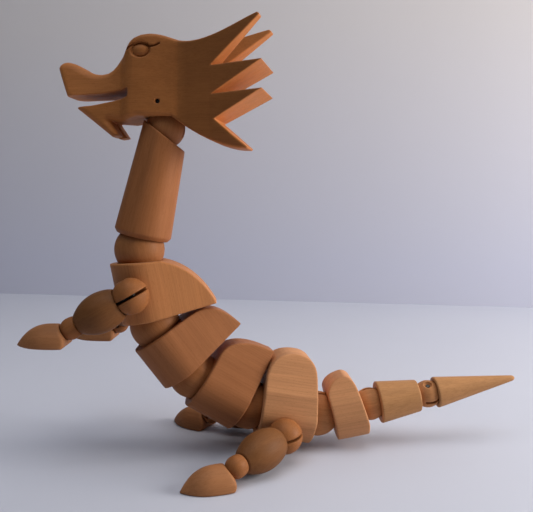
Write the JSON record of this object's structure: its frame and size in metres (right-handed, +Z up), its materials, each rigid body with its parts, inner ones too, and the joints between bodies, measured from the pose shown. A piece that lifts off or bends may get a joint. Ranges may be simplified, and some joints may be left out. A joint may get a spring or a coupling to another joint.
{
  "type": "jointed dragon mannequin",
  "caption": "Jointed wooden dragon figure with a horned head, blocks along the spine, egg-shaped limbs and a tapering tail, posed by ball joints.",
  "frame": {"origin": "centre of the bounding box at the level of the soles", "axes": "+Z up, -X the way the dragon faces, -Y its left side"},
  "size_m": [0.2964, 0.117, 0.2524],
  "materials": {
    "block_wood": "sanded and thinly varnished hardwood, grain along the spine",
    "ball_wood": "turned and thinly varnished hardwood",
    "steel": "plain drawn steel, dulled"
  },
  "bodies": {
    "pelvis": {"pelvis": "block_wood"},
    "belly_ball": {"belly_ball": "ball_wood", "belly_pin": "steel"},
    "belly": {"belly": "block_wood", "belly_link": "steel"},
    "abdomen_ball": {"abdomen_ball": "ball_wood", "abdomen_pin": "steel"},
    "abdomen": {"abdomen": "block_wood", "abdomen_link": "steel"},
    "chest_ball": {"chest_ball": "ball_wood", "chest_pin": "steel"},
    "chest": {"chest": "block_wood", "chest_link": "steel"},
    "neck_ball": {"neck_ball": "ball_wood", "neck_pin": "steel"},
    "neck": {"neck": "block_wood", "neck_link": "steel"},
    "head_ball": {"head_ball": "ball_wood", "head_pin": "steel"},
    "head": {"head": "block_wood", "head_link": "steel", "head_cross_pin": "steel"},
    "tail_base_ball": {"tail_base_ball": "ball_wood", "tail_base_pin": "steel"},
    "tail_base": {"tail_base": "block_wood", "tail_base_link": "steel"},
    "tail_middle_ball": {"tail_middle_ball": "ball_wood", "tail_middle_pin": "steel"},
    "tail_middle": {"tail_middle": "block_wood", "tail_middle_link": "steel"},
    "tail_tip_ball": {"tail_tip_ball": "ball_wood", "tail_tip_pin": "steel"},
    "tail_tip": {"tail_tip": "block_wood", "tail_tip_link": "steel"},
    "left_shoulder_ball": {"left_shoulder_ball": "ball_wood", "left_shoulder_pin": "steel"},
    "left_upper_arm": {"left_upper_arm": "block_wood", "left_shoulder_link": "steel", "left_wrist_ball": "ball_wood"},
    "left_hand": {"left_hand": "block_wood"},
    "left_hip_ball": {"left_hip_ball": "ball_wood", "left_hip_pin": "steel"},
    "left_thigh": {"left_thigh": "block_wood", "left_hip_link": "steel", "left_ankle_ball": "ball_wood"},
    "left_foot": {"left_foot": "block_wood"},
    "right_shoulder_ball": {"right_shoulder_ball": "ball_wood", "right_shoulder_pin": "steel"},
    "right_upper_arm": {"right_upper_arm": "block_wood", "right_shoulder_link": "steel", "right_wrist_ball": "ball_wood"},
    "right_hand": {"right_hand": "block_wood"},
    "right_hip_ball": {"right_hip_ball": "ball_wood", "right_hip_pin": "steel"},
    "right_thigh": {"right_thigh": "block_wood", "right_hip_link": "steel", "right_ankle_ball": "ball_wood"},
    "right_foot": {"right_foot": "block_wood"}
  },
  "joints": [
    {"name": "belly_turn", "type": "hinge", "parent": "pelvis", "child": "belly_ball", "pos_m": [-0.01925, 0.00777, 0.0276], "axis": [-0.9743, -0.1369, 0.1788], "range_deg": [-15, 15]},
    {"name": "belly_bend", "type": "hinge", "parent": "belly_ball", "child": "belly", "pos_m": [-0.01925, 0.00777, 0.0276], "axis": [0.1392, -0.9903, 0], "range_deg": [0, 30]},
    {"name": "abdomen_turn", "type": "hinge", "parent": "belly", "child": "abdomen_ball", "pos_m": [-0.05212, 0.00315, 0.04826], "axis": [-0.8407, -0.1182, 0.5284], "range_deg": [-15, 15]},
    {"name": "abdomen_bend", "type": "hinge", "parent": "abdomen_ball", "child": "abdomen", "pos_m": [-0.05212, 0.00315, 0.04826], "axis": [-0.1843, 0.9801, -0.074], "range_deg": [-30, 5]},
    {"name": "chest_turn", "type": "hinge", "parent": "abdomen", "child": "chest_ball", "pos_m": [-0.07413, 0.00128, 0.07832], "axis": [-0.5901, -0.0501, 0.8058], "range_deg": [-15, 15]},
    {"name": "chest_bend", "type": "hinge", "parent": "chest_ball", "child": "chest", "pos_m": [-0.07413, 0.00128, 0.07832], "axis": [0.1911, -0.9784, 0.0791], "range_deg": [0, 30]},
    {"name": "neck_turn", "type": "hinge", "parent": "chest", "child": "neck_ball", "pos_m": [-0.08276, 0.0032, 0.12285], "axis": [-0.1899, 0.0422, 0.9809], "range_deg": [-45, 45]},
    {"name": "neck_bend", "type": "hinge", "parent": "neck_ball", "child": "neck", "pos_m": [-0.08276, 0.0032, 0.12285], "axis": [0.003, 0.9991, -0.0424], "range_deg": [-40, 25]},
    {"name": "head_turn", "type": "hinge", "parent": "neck", "child": "head_ball", "pos_m": [-0.06674, 0.00613, 0.19298], "axis": [0.2224, 0.0407, 0.9741], "range_deg": [-45, 45]},
    {"name": "head_bend", "type": "hinge", "parent": "head_ball", "child": "head", "pos_m": [-0.06674, 0.00613, 0.19298], "axis": [-0.1488, -0.986, 0.0752], "range_deg": [-35, 0]},
    {"name": "tail_base_turn", "type": "hinge", "parent": "pelvis", "child": "tail_base_ball", "pos_m": [0.02294, 0.0137, 0.01986], "axis": [0.9743, 0.1369, -0.1788], "range_deg": [-30, 30]},
    {"name": "tail_base_bend", "type": "hinge", "parent": "tail_base_ball", "child": "tail_base", "pos_m": [0.02294, 0.0137, 0.01986], "axis": [-0.1028, 0.9768, 0.1877], "range_deg": [-12, 30]},
    {"name": "tail_middle_turn", "type": "hinge", "parent": "tail_base", "child": "tail_middle_ball", "pos_m": [0.05585, 0.01618, 0.025], "axis": [0.9853, 0.0742, 0.1538], "range_deg": [-45, 45]},
    {"name": "tail_middle_bend", "type": "hinge", "parent": "tail_middle_ball", "child": "tail_middle", "pos_m": [0.05585, 0.01618, 0.025], "axis": [-0.0749, 0.9972, -0.0008], "range_deg": [-35, 30]},
    {"name": "tail_tip_turn", "type": "hinge", "parent": "tail_middle", "child": "tail_tip_ball", "pos_m": [0.09223, 0.01892, 0.03048], "axis": [0.9861, 0.0742, 0.1487], "range_deg": [-45, 45]},
    {"name": "tail_tip_bend", "type": "hinge", "parent": "tail_tip_ball", "child": "tail_tip", "pos_m": [0.09223, 0.01892, 0.03048], "axis": [0.0958, 0.4773, -0.8735], "range_deg": [-45, 45]},
    {"name": "left_shoulder_turn", "type": "hinge", "parent": "chest", "child": "left_shoulder_ball", "pos_m": [-0.08338, -0.02328, 0.0996], "axis": [0.0723, -0.9958, 0.0569], "range_deg": [-60, 20]},
    {"name": "left_shoulder_bend", "type": "hinge", "parent": "left_shoulder_ball", "child": "left_upper_arm", "pos_m": [-0.08338, -0.02328, 0.0996], "axis": [0.4771, -0.0155, -0.8787], "range_deg": [-50, 0]},
    {"name": "left_wrist_bend", "type": "hinge", "parent": "left_upper_arm", "child": "left_hand", "pos_m": [-0.11678, -0.02328, 0.08147], "axis": [-0.0349, -0.9994, 0], "range_deg": [-40, 40]},
    {"name": "left_hip_turn", "type": "hinge", "parent": "pelvis", "child": "left_hip_ball", "pos_m": [0.00244, -0.01443, 0.01582], "axis": [0.1392, -0.9903, 0], "range_deg": [-45, 45]},
    {"name": "left_hip_bend", "type": "hinge", "parent": "left_hip_ball", "child": "left_thigh", "pos_m": [0.00244, -0.01443, 0.01582], "axis": [0.1832, 0.0257, -0.9827], "range_deg": [-45, 25]},
    {"name": "left_ankle_bend", "type": "hinge", "parent": "left_thigh", "child": "left_foot", "pos_m": [-0.02464, -0.04398, 0.01], "axis": [0.3256, -0.9455, 0], "range_deg": [-40, 35]},
    {"name": "right_shoulder_turn", "type": "hinge", "parent": "chest", "child": "right_shoulder_ball", "pos_m": [-0.087, 0.02651, 0.09676], "axis": [-0.0723, 0.9958, -0.0569], "range_deg": [-20, 60]},
    {"name": "right_shoulder_bend", "type": "hinge", "parent": "right_shoulder_ball", "child": "right_upper_arm", "pos_m": [-0.087, 0.02651, 0.09676], "axis": [0.8446, 0.0308, -0.5345], "range_deg": [-25, 50]},
    {"name": "right_wrist_bend", "type": "hinge", "parent": "right_upper_arm", "child": "right_hand", "pos_m": [-0.105, 0.04581, 0.06943], "axis": [-0.0698, -0.9976, 0], "range_deg": [-40, 40]},
    {"name": "right_hip_turn", "type": "hinge", "parent": "pelvis", "child": "right_hip_ball", "pos_m": [-0.00452, 0.03509, 0.01582], "axis": [-0.1392, 0.9903, 0], "range_deg": [-45, 30]},
    {"name": "right_hip_bend", "type": "hinge", "parent": "right_hip_ball", "child": "right_thigh", "pos_m": [-0.00452, 0.03509, 0.01582], "axis": [0.148, 0.0208, -0.9888], "range_deg": [-5, 45]},
    {"name": "right_ankle_bend", "type": "hinge", "parent": "right_thigh", "child": "right_foot", "pos_m": [-0.04421, 0.04067, 0.01], "axis": [-0.5, -0.866, 0], "range_deg": [-40, 35]}
  ]
}
